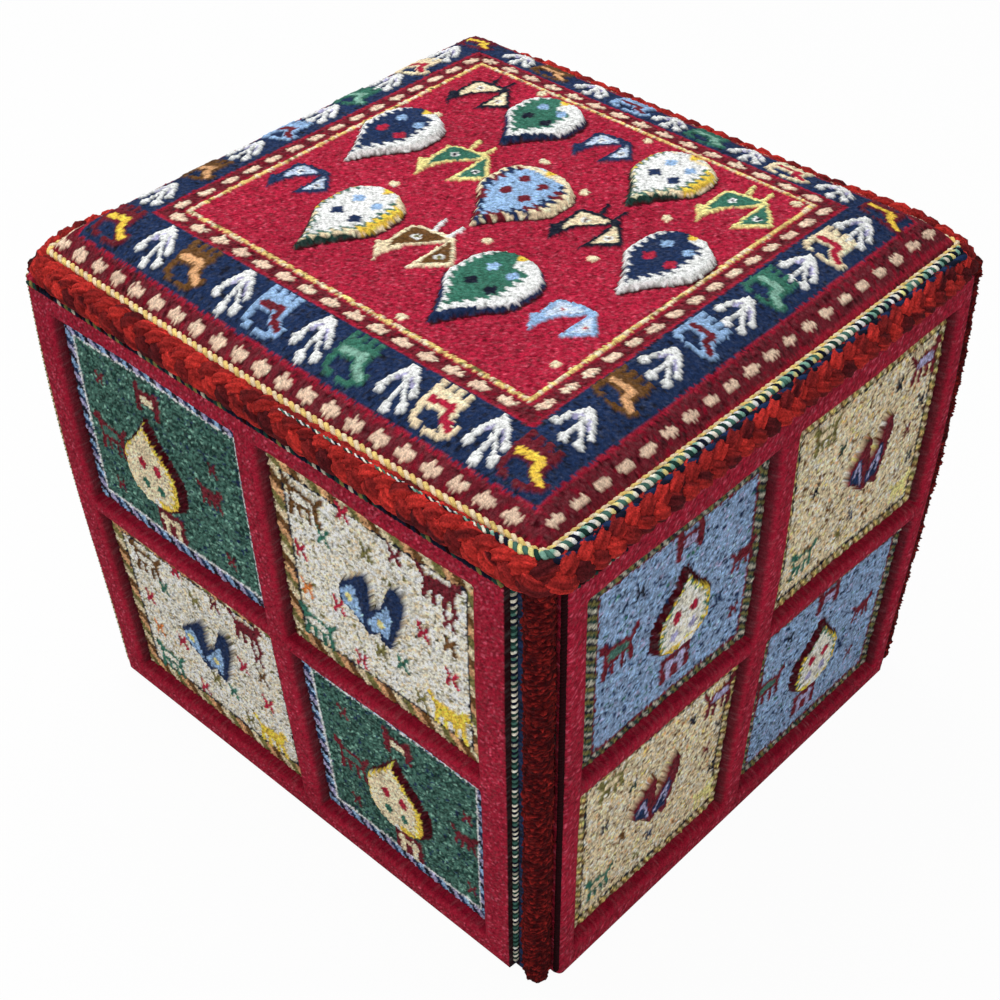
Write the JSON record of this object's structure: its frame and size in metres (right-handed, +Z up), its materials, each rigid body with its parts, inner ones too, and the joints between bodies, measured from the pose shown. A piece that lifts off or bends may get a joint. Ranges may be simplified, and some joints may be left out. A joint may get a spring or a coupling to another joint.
{
  "type": "rug pouf",
  "caption": "Upholstered seat block covered in carved-pile wool rugs, a little wider than it is deep, with a crowned top, raised red lattice sides, a plaited top edge and rolled corners.",
  "frame": {"origin": "middle of the footprint, on the floor plane under the glides", "axes": "+Z up; -Y is the front, the pictured left-hand side; +X is the pictured right-hand side"},
  "size_m": [0.4356, 0.4056, 0.39],
  "materials": {
    "plywood": "raw birch plywood",
    "pine": "sawn pine",
    "foam": "open-cell upholstery foam",
    "rug_wool": "knotted wool pile, carved in relief",
    "plait_wool": "plaited wool yarn in two reds",
    "cord_wool": "twisted wool yarn",
    "roll_wool": "shaggy dark red wool",
    "cambric": "black non-woven cambric",
    "glide_plastic": "moulded"
  },
  "bodies": {
    "root": {"base_board": "plywood", "deck_board": "plywood", "front_board": "plywood", "right_board": "plywood", "back_board": "plywood", "left_board": "plywood", "corner_post_front_right": "pine", "corner_post_back_right": "pine", "corner_post_back_left": "pine", "corner_post_front_left": "pine", "seat_foam": "foam", "side_pad_front": "foam", "side_pad_right": "foam", "side_pad_back": "foam", "side_pad_left": "foam", "top_rug": "rug_wool", "side_rug_front": "rug_wool", "side_rug_right": "rug_wool", "side_rug_back": "rug_wool", "side_rug_left": "rug_wool", "top_edge_plait": "plait_wool", "rim_cord": "cord_wool", "edge_twist": "cord_wool", "corner_roll_front_right": "roll_wool", "corner_twist_front_right": "cord_wool", "corner_roll_back_right": "roll_wool", "corner_twist_back_right": "cord_wool", "corner_roll_back_left": "roll_wool", "corner_twist_back_left": "cord_wool", "corner_roll_front_left": "roll_wool", "corner_twist_front_left": "cord_wool", "dust_cover": "cambric", "glides": "glide_plastic"}
  },
  "joints": []
}
